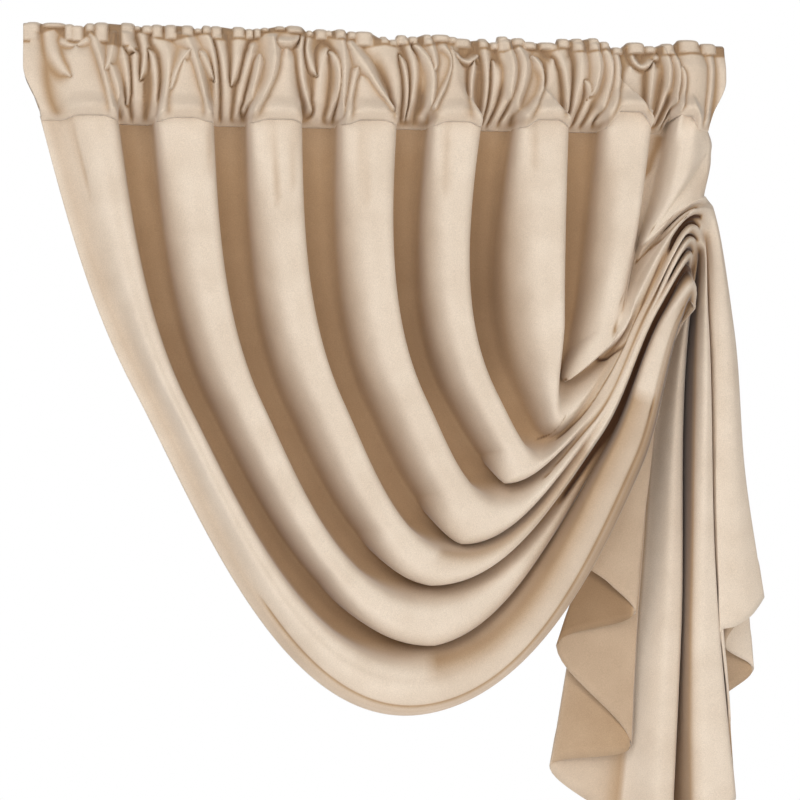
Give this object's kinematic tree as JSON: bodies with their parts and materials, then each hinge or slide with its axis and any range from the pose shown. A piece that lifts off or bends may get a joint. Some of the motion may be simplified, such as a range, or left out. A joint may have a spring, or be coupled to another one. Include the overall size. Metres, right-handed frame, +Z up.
{
  "type": "swagged curtain panel",
  "caption": "Velvet blackout curtain with a gathered rod pocket, hung in pleats, swept aside in nested swags to a gather and falling as a cascading tail.",
  "frame": {"origin": "middle of the heading's top edge, in the plane of the rod's axis", "axes": "+X along the rod towards the gathered side, -Y towards the room, +Z up"},
  "size_m": [0.8605, 0.0987, 0.945],
  "materials": {
    "cream_velvet": "matte velvet with a soft sheen"
  },
  "bodies": {
    "root": {"heading": "cream_velvet", "panel": "cream_velvet"}
  },
  "joints": []
}
